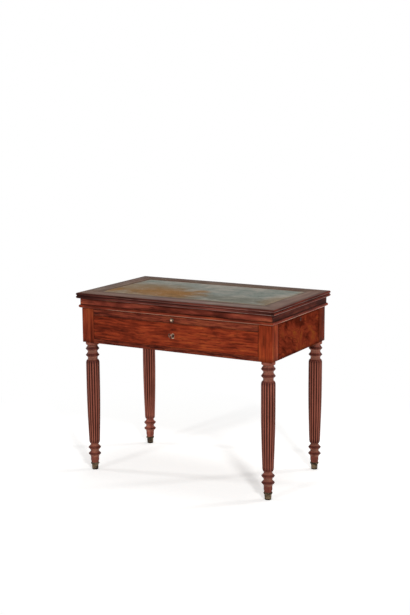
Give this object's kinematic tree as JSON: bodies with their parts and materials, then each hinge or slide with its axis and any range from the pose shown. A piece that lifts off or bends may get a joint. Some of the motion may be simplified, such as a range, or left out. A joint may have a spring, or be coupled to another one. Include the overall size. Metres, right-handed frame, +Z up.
{
  "type": "architect table",
  "caption": "Rising and tilting mahogany architect's table with a leather-lined top, writing slide, locking drawer and turned, reeded legs.",
  "frame": {"origin": "on the floor under the middle of the table", "axes": "+X to the table's right along its length, +Y to its back, +Z up; the drawer and the writing slide pull out towards -Y"},
  "size_m": [0.919, 0.5495, 0.77],
  "materials": {
    "mahogany": "french polish, satin",
    "mahogany_dark": "french polish, satin",
    "oak": "bare, planed",
    "brass": "aged, satin",
    "bronze": "dark patina",
    "iron": "filed, oiled",
    "leather": "worn, tooled line"
  },
  "bodies": {
    "case": {"leg_front_left": "mahogany_dark", "leg_front_right": "mahogany_dark", "leg_back_left": "mahogany_dark", "leg_back_right": "mahogany_dark", "foot_caps": "bronze", "apron_left": "mahogany", "apron_right": "mahogany", "apron_back": "mahogany", "front_rail": "mahogany", "divider_rail": "mahogany", "moulding_front": "mahogany_dark", "moulding_right": "mahogany_dark", "moulding_back": "mahogany_dark", "moulding_left": "mahogany_dark", "drawer_runners": "oak", "slide_runners": "oak", "post_guides": "oak", "shaft_bearings": "brass", "crank_escutcheon": "bronze", "pawl_stud": "iron"},
    "lifting_frame": {"lift_frame_front": "mahogany", "lift_frame_right": "mahogany", "lift_frame_back": "mahogany", "lift_frame_left": "mahogany", "lift_post_left": "oak", "lift_post_right": "oak", "rack_left": "iron", "rack_right": "iron", "rack_screws": "iron", "notch_strips": "oak", "hinge_lower_leaves": "brass"},
    "shaft": {"lift_shaft": "iron", "pinions": "iron", "ratchet_wheel": "iron"},
    "pawl": {"pawl": "iron"},
    "table_top": {"top_rail_front": "mahogany_dark", "top_rail_right": "mahogany_dark", "top_rail_back": "mahogany_dark", "top_rail_left": "mahogany_dark", "top_panel": "mahogany", "leather_lining": "leather", "hinge_upper_leaves": "brass", "hinge_pins": "brass", "strut_cleats": "oak", "strut_pivot_rod": "iron"},
    "easel": {"strut_arms": "mahogany", "strut_cross_rail": "mahogany", "strut_foot_rod": "iron"},
    "writing_slide": {"slide_board": "mahogany", "slide_front": "mahogany", "slide_knob": "brass"},
    "drawer": {"drawer_front": "mahogany", "drawer_sides": "oak", "drawer_back": "oak", "drawer_bottom": "oak", "keyhole_escutcheon": "brass", "lock_case": "brass"},
    "bolt": {"lock_bolt": "iron"},
    "key": {"key": "iron"}
  },
  "joints": [
    {"name": "lift", "type": "slide", "parent": "case", "child": "lifting_frame", "axis": [0, 0, 1], "range_m": [0, 0.10996]},
    {"name": "shaft_turn", "type": "hinge", "parent": "case", "child": "shaft", "pos_m": [0, 0.01, 0.6895], "axis": [1, 0, 0], "range_deg": [0, 420.1]},
    {"name": "pawl_swing", "type": "hinge", "parent": "case", "child": "pawl", "pos_m": [0.401, -0.024, 0.664], "axis": [1, 0, 0], "range_deg": [0, 12]},
    {"name": "top_tilt", "type": "hinge", "parent": "lifting_frame", "child": "table_top", "pos_m": [0, -0.2575, 0.746], "axis": [1, 0, 0], "range_deg": [0, 60]},
    {"name": "easel_turn", "type": "hinge", "parent": "table_top", "child": "easel", "pos_m": [0, -0.03945, 0.7375], "axis": [1, 0, 0], "range_deg": [-120.1, 0]},
    {"name": "slide_out", "type": "slide", "parent": "case", "child": "writing_slide", "axis": [0, -1, 0], "range_m": [0, 0.15]},
    {"name": "drawer_out", "type": "slide", "parent": "case", "child": "drawer", "axis": [0, -1, 0], "range_m": [0, 0.33]},
    {"name": "key_turn", "type": "hinge", "parent": "drawer", "child": "key", "pos_m": [0, -0.26, 0.6285], "axis": [0, -1, 0], "range_deg": [0, 155]},
    {"name": "bolt_throw", "type": "slide", "parent": "drawer", "child": "bolt", "axis": [0, 0, 1], "range_m": [0, 0.00801]}
  ],
  "couplings": [
    {"joint": "shaft_turn", "follows": "lift", "rad_per_m": 66.667},
    {"joint": "easel_turn", "follows": "top_tilt", "ratio": -2},
    {"joint": "bolt_throw", "follows": "key_turn", "m_per_rad": 0.0029572}
  ]
}
